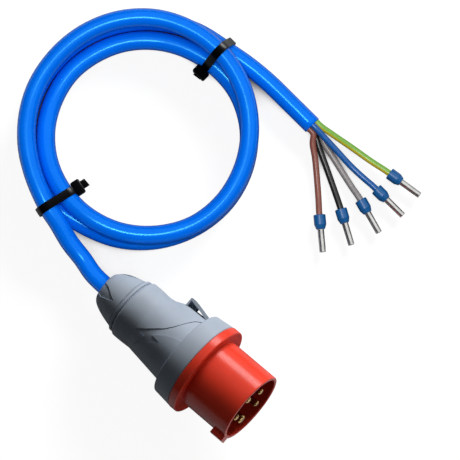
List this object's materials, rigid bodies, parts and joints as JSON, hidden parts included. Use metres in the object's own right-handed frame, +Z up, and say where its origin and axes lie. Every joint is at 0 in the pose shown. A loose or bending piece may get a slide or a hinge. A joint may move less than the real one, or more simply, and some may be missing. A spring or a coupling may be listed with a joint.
{
  "type": "power cable",
  "caption": "Coiled blue power cable with an industrial pin-and-sleeve plug, a gland nut, cable ties and a free end of ferruled cores.",
  "frame": {"origin": "middle of the plug's box, on the floor that it rests on", "axes": "+X along the plug in plan, towards the sleeve's rim; +Y towards the locking hook and the coil; +Z up"},
  "size_m": [0.2842, 0.2367, 0.0733],
  "materials": {
    "housing_plastic": "satin blue-grey moulding",
    "nut_plastic": "satin grey moulding",
    "gland_plastic": "natural moulding",
    "seal_rubber": "matt black",
    "front_plastic": "satin red moulding",
    "insert_plastic": "dark red moulding",
    "pin_brass": "bright turned",
    "screw_steel": "plated",
    "jacket_blue": "smooth blue cable jacket",
    "core_brown": "smooth",
    "core_black": "smooth",
    "core_grey": "smooth",
    "core_blue": "smooth",
    "core_green_yellow": "smooth, striped",
    "ferrule_plastic": "blue collar",
    "ferrule_tin": "tinned tube",
    "tie_nylon": "black strap"
  },
  "bodies": {
    "plug_and_cable": {"plug_housing": "housing_plastic", "clamp_cage": "gland_plastic", "gland_seal": "seal_rubber", "flange_gasket": "seal_rubber", "front_sleeve": "front_plastic", "contact_insert": "insert_plastic", "pin_earth": "pin_brass", "pin_l1": "pin_brass", "pin_l2": "pin_brass", "pin_l3": "pin_brass", "pin_n": "pin_brass", "terminal_screws": "screw_steel", "cable_jacket": "jacket_blue", "core_brown": "core_brown", "core_black": "core_black", "core_grey": "core_grey", "core_blue": "core_blue", "core_green_yellow": "core_green_yellow", "lead_brown": "core_brown", "lead_black": "core_black", "lead_grey": "core_grey", "lead_blue": "core_blue", "lead_green_yellow": "core_green_yellow", "ferrule_collar_brown": "ferrule_plastic", "ferrule_collar_black": "ferrule_plastic", "ferrule_collar_grey": "ferrule_plastic", "ferrule_collar_blue": "ferrule_plastic", "ferrule_collar_green_yellow": "ferrule_plastic", "ferrule_tube_brown": "ferrule_tin", "ferrule_tube_black": "ferrule_tin", "ferrule_tube_grey": "ferrule_tin", "ferrule_tube_blue": "ferrule_tin", "ferrule_tube_green_yellow": "ferrule_tin", "cable_tie_upper": "tie_nylon", "cable_tie_lower": "tie_nylon"},
    "gland_ring": {"pressure_ring": "gland_plastic"},
    "gland_nut_body": {"gland_nut": "nut_plastic"}
  },
  "joints": [
    {"name": "nut_travel", "type": "slide", "parent": "plug_and_cable", "child": "gland_ring", "axis": [-0.9782, 0, -0.2078], "range_m": [0, 0.0051]},
    {"name": "nut_turn", "type": "hinge", "parent": "gland_ring", "child": "gland_nut_body", "pos_m": [-0.05888, 0, 0.01975], "axis": [-0.9782, 0, -0.2078], "range_deg": [0, 900]}
  ],
  "couplings": [
    {"joint": "nut_travel", "follows": "nut_turn", "m_per_rad": 0.00031831}
  ]
}
